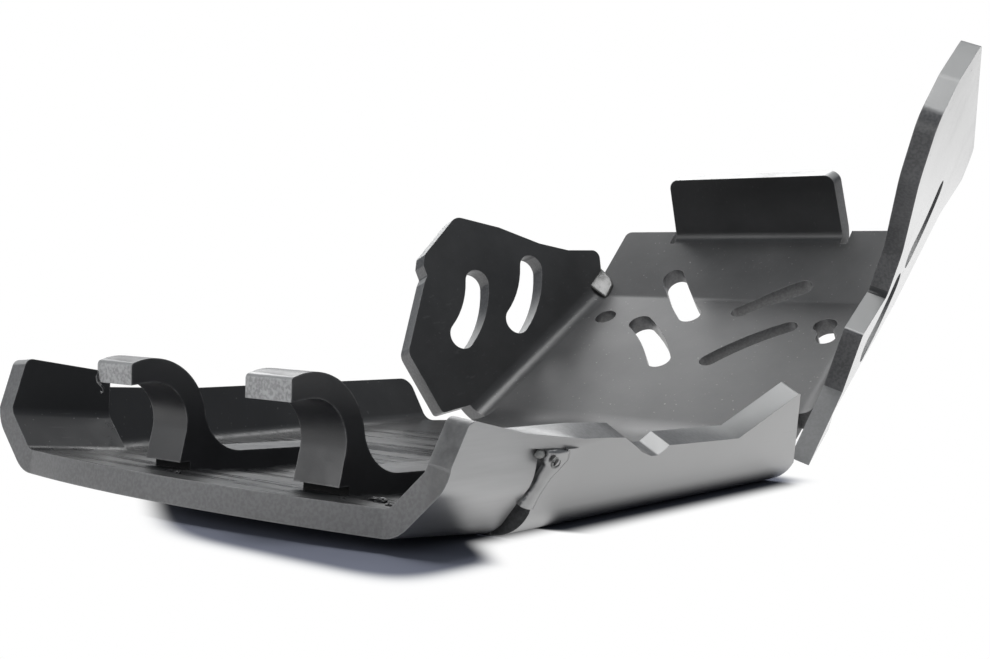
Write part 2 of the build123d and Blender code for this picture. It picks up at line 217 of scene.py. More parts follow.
def put(tree, socket, value):
    """Links value to socket if it is an output, or else sets it."""
    if isinstance(value, bpy.types.NodeSocket):
        tree.links.new(value, socket)
    else:
        socket.default_value = value


def maths(tree, operation, a, b, clamp=False):
    made = add(tree, "ShaderNodeMath", operation=operation, use_clamp=clamp)
    put(tree, made.inputs[0], a)
    put(tree, made.inputs[1], b)
    return made.outputs[0]


def times(tree, a, b):
    return maths(tree, "MULTIPLY", a, b)


def ramp(tree, value, low, high, to_low=0.0, to_high=1.0):
    made = add(tree, "ShaderNodeMapRange", interpolation_type="SMOOTHSTEP")
    put(tree, made.inputs["Value"], value)
    put(tree, made.inputs["From Min"], low)
    put(tree, made.inputs["From Max"], high)
    put(tree, made.inputs["To Min"], to_low)
    put(tree, made.inputs["To Max"], to_high)
    return made.outputs["Result"]


def rgba(colour):
    return (colour[0], colour[1], colour[2], 1.0)


def blend_colour(tree, factor, a, b):
    made = add(tree, "ShaderNodeMix", data_type="RGBA")
    put(tree, made.inputs["Factor"], factor)
    put(tree, made.inputs[6], a)
    put(tree, made.inputs[7], b)
    return made.outputs[2]


def mottled(tree, mask, colour, dark, pale):
    """The colour, running from a darker to a paler shade of itself with the mask."""
    return blend_colour(tree, mask, rgba([c * dark for c in colour]), rgba([c * pale for c in colour]))


def cover(tree, base, mask, share, colour):
    """Lays a share of a colour over the base where the mask says."""
    return blend_colour(tree, times(tree, mask, share), base, rgba(colour))


def noise(tree, scale, detail=3.0, rough=0.5, stretch=None):
    where = add(tree, "ShaderNodeTexCoord").outputs["Object"]
    if stretch is not None:
        mapped = add(tree, "ShaderNodeMapping")
        tree.links.new(where, mapped.inputs["Vector"])
        put(tree, mapped.inputs["Scale"], stretch)
        where = mapped.outputs["Vector"]
    made = add(tree, "ShaderNodeTexNoise")
    tree.links.new(where, made.inputs["Vector"])
    put(tree, made.inputs["Scale"], scale)
    put(tree, made.inputs["Detail"], detail)
    put(tree, made.inputs["Roughness"], rough)
    return made.outputs["Fac"]


def parted(tree, vector):
    """A vector's X, Y and Z outputs."""
    made = add(tree, "ShaderNodeSeparateXYZ")
    tree.links.new(vector, made.inputs[0])
    return made.outputs


def object_place(tree):
    """Where a point lies on the object."""
    return parted(tree, add(tree, "ShaderNodeTexCoord").outputs["Object"])


def facing(tree):
    """Which way the surface faces."""
    return parted(tree, add(tree, "ShaderNodeNewGeometry").outputs["Normal"])


# effects that the materials share

def effect(name, inputs, outputs):
    tree = bpy.data.node_groups.new(name, "ShaderNodeTree")
    for label, value in inputs:
        socket = tree.interface.new_socket(label, in_out="INPUT", socket_type="NodeSocketFloat")
        socket.default_value = value
    for label in outputs:
        tree.interface.new_socket(label, in_out="OUTPUT", socket_type="NodeSocketFloat")
    return tree, add(tree, "NodeGroupInput").outputs, add(tree, "NodeGroupOutput").inputs


def rubbed_edge():
    """Mask of corners that stand proud, broken up by noise."""
    tree, get, out = effect("Rubbed edge", [("Reach", 0.0012), ("Breakup", 260.0)], ["Mask"])
    bevel = add(tree, "ShaderNodeBevel", samples=6)
    tree.links.new(get["Reach"], bevel.inputs["Radius"])
    normal = add(tree, "ShaderNodeNewGeometry").outputs["Normal"]
    dot = add(tree, "ShaderNodeVectorMath", operation="DOT_PRODUCT")
    tree.links.new(bevel.outputs["Normal"], dot.inputs[0])
    tree.links.new(normal, dot.inputs[1])
    bare = ramp(tree, dot.outputs["Value"], 0.995, 0.80)
    grain = noise(tree, get["Breakup"], 4.0, 0.6)
    tree.links.new(times(tree, bare, ramp(tree, grain, 0.30, 0.62)), out["Mask"])
    return tree


def sheet_grain():
    """Fine pressed grain of the sheet, with cloudy patches of gloss."""
    inputs = [("Fineness", 1400.0), ("Patches", 24.0)]
    tree, get, out = effect("Sheet grain", inputs, ["Height", "Cloud"])
    fine = noise(tree, get["Fineness"], 2.0, 0.5)
    tree.links.new(fine, out["Height"])
    cloud = noise(tree, get["Patches"], 4.0, 0.6)
    tree.links.new(ramp(tree, cloud, 0.25, 0.75), out["Cloud"])
    return tree


def drag_marks():
    """Thin scratches that run along the plate."""
    tree, get, out = effect("Drag marks", [("Fineness", 1.0)], ["Mask"])
    long = noise(tree, get["Fineness"], 2.0, 0.5, (900.0, 14.0, 500.0))
    gaps = noise(tree, 35.0, 2.0, 0.5)
    lines = ramp(tree, long, 0.63, 0.72)
    tree.links.new(times(tree, lines, ramp(tree, gaps, 0.45, 0.65)), out["Mask"])
    return tree


def painted_front_sheen():
    """Painted sheen on the raised front and the floor before it: a paler, cloudy film that stands in
    for the light they catch.
    """
    inputs = [("Patches", 30.0), ("From", -0.02), ("To", 0.09), ("Top", 0.125)]
    tree, get, out = effect("Front sheen", inputs, ["Mask"])
    at = object_place(tree)
    ahead = ramp(tree, at["Y"], get["From"], get["To"])
    below = ramp(tree, maths(tree, "SUBTRACT", get["Top"], at["Z"]), 0.0, 0.02)
    cloud = ramp(tree, noise(tree, get["Patches"], 5.0, 0.65), 0.2, 0.8, 0.45, 1.0)
    tree.links.new(times(tree, times(tree, ahead, below), cloud), out["Mask"])
    return tree


def painted_edge_highlight():
    """Mask of the edges that lean up and back, where a painted highlight stands in for the light from
    above.
    """
    tree, get, out = effect("Painted edge highlight", [("Lean", 0.45)], ["Mask"])
    way = facing(tree)
    up = ramp(tree, way["Z"], 0.30, 0.62)
    back = ramp(tree, times(tree, way["Y"], -1.0), -0.15, get["Lean"])
    tree.links.new(times(tree, up, back), out["Mask"])
    return tree


def rear_paler_streaks():
    """Paler streaks towards the rear of the outer face."""
    tree, get, out = effect("Rear paler streaks", [("From", -0.06), ("To", -0.10)], ["Mask"])
    behind = ramp(tree, object_place(tree)["Y"], get["From"], get["To"])
    streaks = ramp(tree, noise(tree, 1.0, 3.0, 0.6, (60.0, 20.0, 260.0)), 0.2, 0.8, 0.6, 1.0)
    tree.links.new(times(tree, behind, streaks), out["Mask"])
    return tree


def roller_bands():
    """Bands of gloss that run across the level floor from the sheet's rolling."""
    inputs = [("Fineness", 1.0), ("From", 0.02), ("To", 0.08)]
    tree, get, out = effect("Roller bands", inputs, ["Mask"])
    streaks = noise(tree, get["Fineness"], 4.0, 0.65, (7.0, 150.0, 150.0))
    bands = ramp(tree, streaks, 0.38, 0.62)
    level = ramp(tree, facing(tree)["Z"], 0.6, 0.9)
    behind = ramp(tree, object_place(tree)["Y"], get["To"], get["From"])
    swing = times(tree, maths(tree, "SUBTRACT", bands, 0.5), times(tree, level, behind))
    tree.links.new(maths(tree, "ADD", swing, 0.5), out["Mask"])
    return tree


def rear_edge_darkening():
    """Mask of a darker patch on the rear end of the right wall."""
    inputs = [("Side", 0.094), ("Height", 0.008), ("Behind", -0.10)]
    tree, get, out = effect("Rear edge darkening", inputs, ["Mask"])
    at = object_place(tree)
    side = ramp(tree, maths(tree, "SUBTRACT", at["X"], get["Side"]), 0.0, 0.006)
    above = ramp(tree, maths(tree, "SUBTRACT", at["Z"], get["Height"]), 0.0, 0.008)
    behind = maths(tree, "LESS_THAN", at["Y"], get["Behind"])
    patch = times(tree, times(tree, side, above), behind)
    cloud = ramp(tree, noise(tree, 220.0, 4.0, 0.6), 0.2, 0.8, 0.55, 1.0)
    tree.links.new(times(tree, patch, cloud), out["Mask"])
    return tree


def wing_gloss():
    """Gloss of the right wing, which is rubbed duller towards its top."""
    inputs = [("From", 0.10), ("To", 0.15), ("Least", 0.45)]
    tree, get, out = effect("Wing gloss", inputs, ["Gloss"])
    height = object_place(tree)["Z"]
    tree.links.new(ramp(tree, height, get["From"], get["To"], 1.0, get["Least"]), out["Gloss"])
    return tree


def settled_dust():
    """Pale specks that lie on upward faces."""
    tree, get, out = effect("Settled dust", [("Fineness", 700.0), ("Cover", 0.72)], ["Mask"])
    spots = noise(tree, get["Fineness"], 1.0, 0.4)
    dots = ramp(tree, spots, get["Cover"], 0.82)
    tree.links.new(times(tree, dots, ramp(tree, facing(tree)["Z"], 0.1, 0.8)), out["Mask"])
    return tree


MAKERS = {
    "Rubbed edge": rubbed_edge,
    "Sheet grain": sheet_grain,
    "Drag marks": drag_marks,
    "Front sheen": painted_front_sheen,
    "Painted edge highlight": painted_edge_highlight,
    "Rear paler streaks": rear_paler_streaks,
    "Roller bands": roller_bands,
    "Rear edge darkening": rear_edge_darkening,
    "Wing gloss": wing_gloss,
    "Settled dust": settled_dust,
}
# node groups made so far, by name
MADE = {}


def place(tree, name, **values):
    """Puts an effect into a material's tree, and makes it first where it is new."""
    if name not in MADE:
        MADE[name] = MAKERS[name]()
    made = add(tree, "ShaderNodeGroup", node_tree=MADE[name])
    for label, value in values.items():
        made.inputs[label].default_value = value
    return made.outputs


# materials

def start_material(name):
    made = bpy.data.materials.new(name)
    made.use_nodes = True
    tree = made.node_tree
    return made, tree, tree.nodes["Principled BSDF"]


def bump(tree, shader, height, distance, strength):
    made = add(tree, "ShaderNodeBump")
    put(tree, made.inputs["Height"], height)
    made.inputs["Distance"].default_value = distance
    made.inputs["Strength"].default_value = strength
    tree.links.new(made.outputs["Normal"], shader.inputs["Normal"])


def coated(shader, weight, rough, ior):
    shader.inputs["Coat Weight"].default_value = weight
    shader.inputs["Coat Roughness"].default_value = rough
    shader.inputs["Coat IOR"].default_value = ior


def sheet_face(name, colour, wear, rear_share, rough, gloss, coat, coat_rough, coat_ior):
    """Black pressed sheet, satin, with drag marks, rubbed corners and a little dust."""
    made, tree, shader = start_material(name)
    grain = place(tree, "Sheet grain")
    marks = place(tree, "Drag marks")["Mask"]
    rubbed = place(tree, "Rubbed edge", Reach=0.0010)["Mask"]
    bands = place(tree, "Roller bands")["Mask"]
    layers = [
        # painted sheen on the raised front
        (place(tree, "Front sheen")["Mask"], 0.19, wear),
        (bands, 0.05, wear),
        (place(tree, "Rear paler streaks")["Mask"], rear_share, wear),
        (marks, 0.12, wear),
        (rubbed, 0.55, wear),
        (place(tree, "Settled dust")["Mask"], 0.25, DUST),
    ]
    base = mottled(tree, grain["Cloud"], colour, 0.85, 1.15)
    for mask, share, over in layers:
        base = cover(tree, base, mask, share, over)
    tree.links.new(base, shader.inputs["Base Color"])
    cloudy = ramp(tree, grain["Cloud"], 0.0, 1.0, rough - 0.03, rough + 0.03)
    cloudy = maths(tree, "ADD", cloudy, ramp(tree, bands, 0.0, 1.0, -0.07, 0.07))
    worn = maths(tree, "ADD", times(tree, marks, 0.15), times(tree, rubbed, 0.2))
    tree.links.new(maths(tree, "ADD", cloudy, worn, clamp=True), shader.inputs["Roughness"])
    shader.inputs["Specular IOR Level"].default_value = gloss
    coated(shader, coat, coat_rough, coat_ior)
    height = maths(tree, "SUBTRACT", grain["Height"], times(tree, marks, 0.2))
    bump(tree, shader, height, 0.00003, 0.5)
    return made


def wing_face(name, colour, wear):
    """Outer face of the right wing: smoother than the rest, and duller towards its top."""
    made = sheet_face(name, colour, wear, rear_share=1.0, rough=0.16, gloss=1.0,
                      coat=1.0, coat_rough=0.12, coat_ior=2.45)
    tree = made.node_tree
    gloss = place(tree, "Wing gloss")["Gloss"]
    tree.links.new(gloss, tree.nodes["Principled BSDF"].inputs["Coat Weight"])
    return made


def cut_edge(name, colour, pale, wear):
    """Sawn and deburred edge: paler, duller, speckled, with tool lines; the edges that lean up and
    back carry a painted highlight.
    """
    made, tree, shader = start_material(name)
    grain = place(tree, "Sheet grain", Fineness=900.0, Patches=60.0)
    rubbed = place(tree, "Rubbed edge", Reach=0.0010, Breakup=180.0)["Mask"]
    lines = noise(tree, 1.0, 3.0, 0.6, (500.0, 500.0, 500.0))
    edge_highlight = place(tree, "Painted edge highlight")["Mask"]
    fine = times(tree, ramp(tree, grain["Height"], 0.35, 0.65), 0.6)
    speckle = maths(tree, "ADD", times(tree, grain["Cloud"], 0.4), fine)
    base = mottled(tree, speckle, colour, 0.55, 1.45)
    # painted highlight: the edges that lean up and back take the pale colour
    base = blend_colour(tree, edge_highlight, base, rgba(pale))
    # the cut edge on the rear end of the right wall is made darker
    base = blend_colour(tree, place(tree, "Rear edge darkening")["Mask"], base, rgba(REAR_EDGE_DARK))
    base = cover(tree, base, rubbed, 0.7, wear)
    tree.links.new(base, shader.inputs["Base Color"])
    tree.links.new(ramp(tree, grain["Cloud"], 0.0, 1.0, 0.34, 0.50), shader.inputs["Roughness"])
    shader.inputs["Specular IOR Level"].default_value = 0.7
    coated(shader, 0.3, 0.38, 1.9)
    bump(tree, shader, lines, 0.00004, 0.6)
    return made


def hook_face(name, colour, wear, gloss):
    """Hook milled from the same black plastic."""
    made, tree, shader = start_material(name)
    grain = place(tree, "Sheet grain", Fineness=1000.0, Patches=70.0)
    rubbed = place(tree, "Rubbed edge", Reach=0.0012, Breakup=220.0)["Mask"]
    dust = place(tree, "Settled dust", Cover=0.70)["Mask"]
    base = mottled(tree, grain["Cloud"], colour, 0.8, 1.2)
    base = cover(tree, base, rubbed, 0.7, wear)
    base = cover(tree, base, dust, 0.2, DUST)
    tree.links.new(base, shader.inputs["Base Color"])
    tree.links.new(ramp(tree, grain["Cloud"], 0.0, 1.0, 0.30, 0.42), shader.inputs["Roughness"])
    shader.inputs["Specular IOR Level"].default_value = gloss
    bump(tree, shader, grain["Height"], 0.00004, 0.6)
    return made


def drawn_plastic(name, colour, gloss):
    """Plastic that the drill or the fold has drawn out: smooth, streaked and paler."""
    made, tree, shader = start_material(name)
    grain = place(tree, "Sheet grain", Fineness=1800.0, Patches=160.0)
    base = mottled(tree, grain["Cloud"], colour, 0.85, 1.2)
    tree.links.new(base, shader.inputs["Base Color"])
    tree.links.new(ramp(tree, grain["Cloud"], 0.0, 1.0, 0.22, 0.40), shader.inputs["Roughness"])
    shader.inputs["Specular IOR Level"].default_value = gloss
    bump(tree, shader, grain["Height"], 0.00003, 0.5)
    return made


def plated_steel(name, colour):
    """Zinc-plated screw steel."""
    made, tree, shader = start_material(name)
    grain = place(tree, "Sheet grain", Fineness=2200.0, Patches=300.0)
    base = mottled(tree, grain["Cloud"], colour, 0.8, 1.1)
    tree.links.new(base, shader.inputs["Base Color"])
    shader.inputs["Metallic"].default_value = 1.0
    tree.links.new(ramp(tree, grain["Cloud"], 0.0, 1.0, 0.28, 0.45), shader.inputs["Roughness"])
    bump(tree, shader, grain["Height"], 0.00002, 0.5)
    return made


# pieces

def seam_joiner():
    """Node tree that joins split seams and shades bends smooth and folds sharp."""
    tree = bpy.data.node_groups.new("Join seams", "GeometryNodeTree")
    tree.interface.new_socket("Geometry", in_out="INPUT", socket_type="NodeSocketGeometry")
    tree.interface.new_socket("Geometry", in_out="OUTPUT", socket_type="NodeSocketGeometry")
    strip = add(tree, "GeometryNodeRemoveAttribute")
    strip.inputs["Name"].default_value = "custom_normal"
    merge = add(tree, "GeometryNodeMergeByDistance")
    merge.inputs["Distance"].default_value = SEAM
    smooth = add(tree, "GeometryNodeSetShadeSmooth", domain="FACE")
    sharp = add(tree, "GeometryNodeSetShadeSmooth", domain="EDGE")
    sharp.inputs["Shade Smooth"].default_value = False
    angle = add(tree, "GeometryNodeInputMeshEdgeAngle").outputs["Unsigned Angle"]
    tree.links.new(maths(tree, "GREATER_THAN", angle, SHARP), sharp.inputs["Selection"])
    chain = [add(tree, "NodeGroupInput"), strip, merge, smooth, sharp, add(tree, "NodeGroupOutput")]
    for first, second in zip(chain, chain[1:]):
        tree.links.new(first.outputs[0], second.inputs[0])
    return tree


def break_corners(obj, width):
    """Joins the mesh's split seams and breaks its sharp corners, by modifiers alone."""
    if "Join seams" not in MADE:
        MADE["Join seams"] = seam_joiner()
    obj.modifiers.new("Join seams", "NODES").node_group = MADE["Join seams"]
    bevel = obj.modifiers.new("Broken corners", "BEVEL")
    bevel.width = width
    bevel.segments = 2
    bevel.limit_method = "ANGLE"
    bevel.angle_limit = SHARP
    bevel.use_clamp_overlap = True
    bevel.miter_outer = "MITER_ARC"
    even = obj.modifiers.new("Even shading", "WEIGHTED_NORMAL")
    even.keep_sharp = False
    even.weight = 100


def dress(obj, materials):
    obj.data.materials.clear()
    for material in materials:
        obj.data.materials.append(material)


def mesh_tree(mesh):
    return BVHTree.FromPolygons([v.co for v in mesh.vertices], [p.vertices for p in mesh.polygons])


def sort_faces(obj):
    """Gives each face of the plate its material: inner, outer, cut edge or right wing."""
    tree = mesh_tree(obj.data)
    for face in obj.data.polygons:
        start = face.center - face.normal * RAY_START
        through = tree.ray_cast(start, -face.normal)[3]
        if through is None or abs(through - SHEET) > SHEET_SLACK:
            face.material_index = CUT
        elif (face.center - INSIDE).dot(face.normal) <= 0:
            face.material_index = INNER
        else:
            on_wing = face.center.x > WING_X and face.center.y > WING_Y
            face.material_index = WING if on_wing else OUTER


def piece(name, work, material):
    """Makes a small piece of a bmesh, in the plate's frame, and attaches it to the root body."""
    mesh = bpy.data.meshes.new(name)
    bmesh.ops.recalc_face_normals(work, faces=work.faces)
    work.to_mesh(mesh)
    work.free()
    for face in mesh.polygons:
        face.use_smooth = True
    mesh.materials.append(material)
    made = bpy.data.objects.new(name, mesh)
    bpy.context.scene.collection.objects.link(made)
    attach(made, "root")


def lump(at, axes, wobble, shift):
    """Uneven rounded lump with the given half axes."""
    work = bmesh.new()
    bmesh.ops.create_icosphere(work, subdivisions=4, radius=1.0)
    for vert in work.verts:
        way = vert.co.copy()
        swell = 1.0 + wobble * lumpy.fractal(way * 1.7 + Vector(shift), 0.8, 2.0, 4)
        reach = sum((Vector(axis) * way[k] for k, axis in enumerate(axes)), Vector())
        vert.co = Vector(at) + reach * swell
    return work


def thread(points, radii, sides=10):
    """Tube through the points, with its own radius at each."""
    work = bmesh.new()
    spots = [Vector(point) for point in points]
    rings = []
    for k, spot in enumerate(spots):
        ahead = (spots[min(k + 1, len(spots) - 1)] - spots[max(k - 1, 0)]).normalized()
        side = ahead.cross(Vector((0.3, 0.2, 1.0))).normalized()
        rise = side.cross(ahead)
        ring = []
        for n in range(sides):
            turn = 2.0 * math.pi * n / sides
            out = side * math.cos(turn) + rise * math.sin(turn)
            ring.append(work.verts.new(spot + out * radii[k]))
        rings.append(ring)
    join_rows(work, rings)
    return work


def join_rows(work, rows):
    """Faces between closed rows of points, and one over each end."""
    for first, second in zip(rows, rows[1:]):
        for n in range(len(first)):
            m = (n + 1) % len(first)
            work.faces.new((first[n], first[m], second[m], second[n]))
    work.faces.new(rows[0])
    work.faces.new(rows[-1])


# how a skin is divided along and across, how ragged it is, and how its free edge rolls in
SKIN_ALONG = 4
SKIN_ACROSS = 8
SKIN_RAGGED = 0.10
SKIN_RAGGED_SCALE = 900.0
SKIN_LIFT = 0.00010
SKIN_ROLL = 0.0011


def skin(free, root, normal, thick):
    """Thin flap of sheet from the root line to a ragged, rolled free line."""
    work = bmesh.new()
    rows = []
    for k in range((len(free) - 1) * SKIN_ALONG + 1):
        whole, part = divmod(k, SKIN_ALONG)
        after = min(whole + 1, len(free) - 1)
        edge = Vector(free[whole]).lerp(Vector(free[after]), part / SKIN_ALONG)
        base = Vector(root[whole]).lerp(Vector(root[after]), part / SKIN_ALONG)
        reach = 1.0 + SKIN_RAGGED * lumpy.noise(edge * SKIN_RAGGED_SCALE)
        steps = [n / SKIN_ACROSS for n in range(SKIN_ACROSS + 1)]
        face = [base.lerp(edge, t * reach) + normal * (SKIN_LIFT - SKIN_ROLL * t ** 4) for t in steps]
        back = [base.lerp(edge, t * reach) - normal * thick for t in reversed(steps)]
        rows.append([work.verts.new(spot) for spot in face + back])
    join_rows(work, rows)
    return work


def on_sheet(tree, x, y):
    """The highest point of the plate at this place."""
    hit = tree.ray_cast(Vector((x, y, 0.2)), Vector((0.0, 0.0, -1.0)))[0]
    if hit is None:
        raise RuntimeError("No sheet lies below %.4f, %.4f" % (x, y))
    return hit


# free and root line of the skin that hangs in the right relief slot, from its top down
SKIN_FREE = [
    (0.1097, -0.0823, 0.0256), (0.1086, -0.0820, 0.0235), (0.1073, -0.0808, 0.0213),
    (0.1060, -0.0812, 0.0188), (0.1044, -0.0815, 0.0161), (0.1032, -0.0823, 0.0138),
    (0.1020, -0.0831, 0.0118), (0.1010, -0.0838, 0.0098),
]
SKIN_ROOT = [
    (0.1100, -0.0742, 0.0262), (0.1085, -0.0727, 0.0234), (0.1069, -0.0748, 0.0206),
    (0.1056, -0.0770, 0.0181), (0.1042, -0.0778, 0.0156), (0.1027, -0.0784, 0.0129),
    (0.1015, -0.0784, 0.0107), (0.1004, -0.0784, 0.0088),
]
SKIN_THICK = 0.0026

# the way the right middle wall faces, which is folded up by this angle
WALL_ANGLE = math.radians(61)
WALL_OUT = Vector((math.sin(WALL_ANGLE), 0.0, -math.cos(WALL_ANGLE)))

# bead and curled chip in the right relief slot, and a dark lump inside the chip; the bead's pale
# colour is a painted highlight, and the lump is painted shade in the chip's hollow
BEAD_AT = (0.1062, -0.0832, 0.0256)
BEAD_AXES = [(0.0013, 0, 0), (0, 0.0017, 0), (0, 0, 0.0013)]
CHIP_AT = Vector((0.1094, -0.0802, 0.0232))
CHIP_STEPS = 26
CHIP_TURNS = 1.15
CHIP_RADIUS = 0.0015
CHIP_WIDE = Vector((0.15, 0.85, 0.0))
CHIP_HIGH = Vector((0.35, 0.0, 0.85))
CHIP_RISE = 0.0009
CHIP_SUNK = 0.0003
CHIP_END = 0.00012
CHIP_SWELL = 0.00030
HOLLOW_SHADE_AXES = [(0.0003, 0, 0.0002), (0, 0.0012, 0), (0.0004, 0, 0.0011)]
HOLLOW_SHADE_SUNK = 0.0002

# wing side and panel side of the web that closes the upper end of the left wing's fold
WEB_WING = [
    (-0.0806, 0.2052, 0.0722), (-0.0807, 0.2100, 0.0764),
    (-0.0806, 0.2140, 0.0798), (-0.0800, 0.2158, 0.0812),
]
WEB_PANEL = [
    (-0.0694, 0.2066, 0.0652), (-0.0694, 0.2098, 0.0690),
    (-0.0698, 0.2126, 0.0722), (-0.0735, 0.2148, 0.0765),
]
WEB_FACE = Vector((0.57, -0.82, 0.0))
WEB_THICK = 0.0045
WEB_SHADE = 0.25

# crumbs of plastic on the rear floor: X, Y, length and height
CRUMBS = [
    (0.0670, -0.1073, 0.0034, 0.0011), (0.0705, -0.1090, 0.0016, 0.0008),
    (0.0778, -0.1130, 0.0010, 0.0006), (-0.0069, -0.1180, 0.0012, 0.0008),
    (-0.0125, -0.1165, 0.0008, 0.0005), (0.0610, -0.1140, 0.0009, 0.0006),
]

# whisker that hangs from the left hook's tip, and its radius at each point
WHISKER = [
    (-0.0340, -0.1276, 0.0420), (-0.0342, -0.1283, 0.0402), (-0.0336, -0.1284, 0.0385),
    (-0.0322, -0.1283, 0.0376), (-0.0312, -0.1281, 0.0367), (-0.0313, -0.1280, 0.0356),
    (-0.0322, -0.1281, 0.0352), (-0.0328, -0.1280, 0.0357),
]
WHISKER_RADII = [0.0004, 0.00045, 0.0004, 0.0004, 0.00035, 0.0003, 0.00025, 0.0001]


def curled_chip():
    """Chip that winds out from the wall and thins towards both ends."""
    line = []
    radii = []
    for k in range(CHIP_STEPS + 1):
        turn = 2.0 * math.pi * CHIP_TURNS * k / CHIP_STEPS
        around = CHIP_WIDE * math.cos(turn) + CHIP_HIGH * math.sin(turn)
        out = CHIP_RISE * k / CHIP_STEPS - CHIP_SUNK
        line.append(CHIP_AT + around * CHIP_RADIUS + WALL_OUT * out)
        radii.append(CHIP_END + CHIP_SWELL * math.sin(math.pi * k / CHIP_STEPS))
    return thread(line, radii)


class SKID_OT_sheet(bpy.types.Operator):
    """Finish the folded sheet: inner face, outer faces and cut edges"""

    bl_idname = "skid.sheet"
    bl_label = "Folded sheet"

    def execute(self, context):
        look = context.scene.skid_sheet
        inner = sheet_face("Sheet inner face", look.inner, look.wear, rear_share=0.0, rough=0.32,
                           gloss=0.42, coat=0.0, coat_rough=0.12, coat_ior=1.5)
        outer = sheet_face("Sheet outer face", look.outer, look.wear, rear_share=1.0, rough=0.36,
                           gloss=1.0, coat=1.0, coat_rough=0.34, coat_ior=2.45)
        cut = cut_edge("Sheet cut edge", look.cut, look.edge_highlight, look.wear)
        wing = wing_face("Sheet wing face", look.outer, look.wear)
        dress(PLATE, [inner, outer, cut, wing])
        sort_faces(PLATE)
        break_corners(PLATE, look.corner)
        return {"FINISHED"}


class SKID_OT_hooks(bpy.types.Operator):
    """Finish the two tube hooks"""

    bl_idname = "skid.hooks"
    bl_label = "Tube hooks"

    def execute(self, context):
        look = context.scene.skid_hook
        wear = context.scene.skid_sheet.wear
        body = hook_face("Hook plastic", look.body, wear, 0.6)
        tip = cut_edge("Hook sawn tip", look.tip, look.tip, wear)
        # painted shade: the heel gap's faces take a darker copy of the hook's colour
        gap = hook_face("Hook heel gap shade", [c * 0.3 for c in look.body], look.body, 0.1)
        for hook in HOOKS:
            dress(hook, [body, tip, gap])
            for face in hook.data.polygons:
                back = -face.normal.y
                at = face.center
                if back > TIP_BACK and at.z > TIP_Z and at.y < TIP_Y:
                    face.material_index = TIP
                elif back > HEEL_BACK and at.z < HEEL_Z and at.y < HEEL_Y:
                    face.material_index = HEEL_SHADE
            break_corners(hook, look.corner)
        return {"FINISHED"}


class SKID_OT_screws(bpy.types.Operator):
    """Finish the four countersunk screws below the hooks"""

    bl_idname = "skid.screws"
    bl_label = "Hook screws"

    def execute(self, context):
        dress(SCREWS, [plated_steel("Screw steel", context.scene.skid_screw.metal)])
        return {"FINISHED"}


class SKID_OT_traces(bpy.types.Operator):
    """Add the traces of the tools: drawn plastic, the slot's skin, chips and whiskers"""

    bl_idname = "skid.traces"
    bl_label = "Tool traces"

    def execute(self, context):
        look = context.scene.skid_sheet
        pale = drawn_plastic("Drawn plastic", look.drawn, 0.7)
        dark = drawn_plastic("Plastic crumb and painted shade", look.inner, 0.3)
        web = drawn_plastic("Drawn fold", [c * WEB_SHADE for c in look.drawn], 0.5)
        outer = PLATE.data.materials[OUTER]
        hook = HOOKS[0].data.materials[BODY]
        piece("Fold_web", skin(WEB_WING, WEB_PANEL, WEB_FACE, WEB_THICK), web)
        piece("Slot_skin", skin(SKIN_FREE, SKIN_ROOT, WALL_OUT, SKIN_THICK), outer)
        # painted highlight: a pale bead where the slot's rounded end catches the light
        piece("Slot_bead_highlight", lump(BEAD_AT, BEAD_AXES, 0.15, (0.2, 5.0, 2.0)), pale)
        piece("Slot_chip", curled_chip(), pale)
        # painted shade: a dark lump sunk in the chip's hollow
        hollow_shade_at = CHIP_AT - WALL_OUT * HOLLOW_SHADE_SUNK
        piece("Slot_hollow_shade", lump(hollow_shade_at, HOLLOW_SHADE_AXES, 0.2, (4.0, 1.0, 0.0)), dark)
        tree = mesh_tree(PLATE.data)
        for k, (x, y, size, tall) in enumerate(CRUMBS):
            axes = [(size, size * 0.35, 0), (-size * 0.2, size * 0.45, 0), (0, 0, tall)]
            crumb = lump(on_sheet(tree, x, y), axes, 0.45, (k * 2.3, 1.0, k))
            piece("Crumb_%d" % k, crumb, dark)
        piece("Hook_whisker", thread(WHISKER, WHISKER_RADII), hook)
        return {"FINISHED"}


# studio

def softbox(name, box, power):
    """White area lamp that the camera doesn't see."""
    stand, wide, high = box
    lamp = bpy.data.lights.new(name, "AREA")
    lamp.shape = "RECTANGLE"
    lamp.size = wide
    lamp.size_y = high
    lamp.energy = power
    lamp.color = WHITE
    made = bpy.data.objects.new(name, lamp)
    made.location = stand
    made.rotation_euler = (Vector(AIM) - Vector(stand)).to_track_quat("-Z", "Y").to_euler()
    made.visible_camera = False
    bpy.context.scene.collection.objects.link(made)


def seen_directly(tree):
    """1 for rays from the camera, a glossy surface or a see-through one."""
    path = add(tree, "ShaderNodeLightPath").outputs
    seen = maths(tree, "MAXIMUM", path["Is Camera Ray"], path["Is Glossy Ray"])
    return maths(tree, "MAXIMUM", seen, path["Is Transmission Ray"])


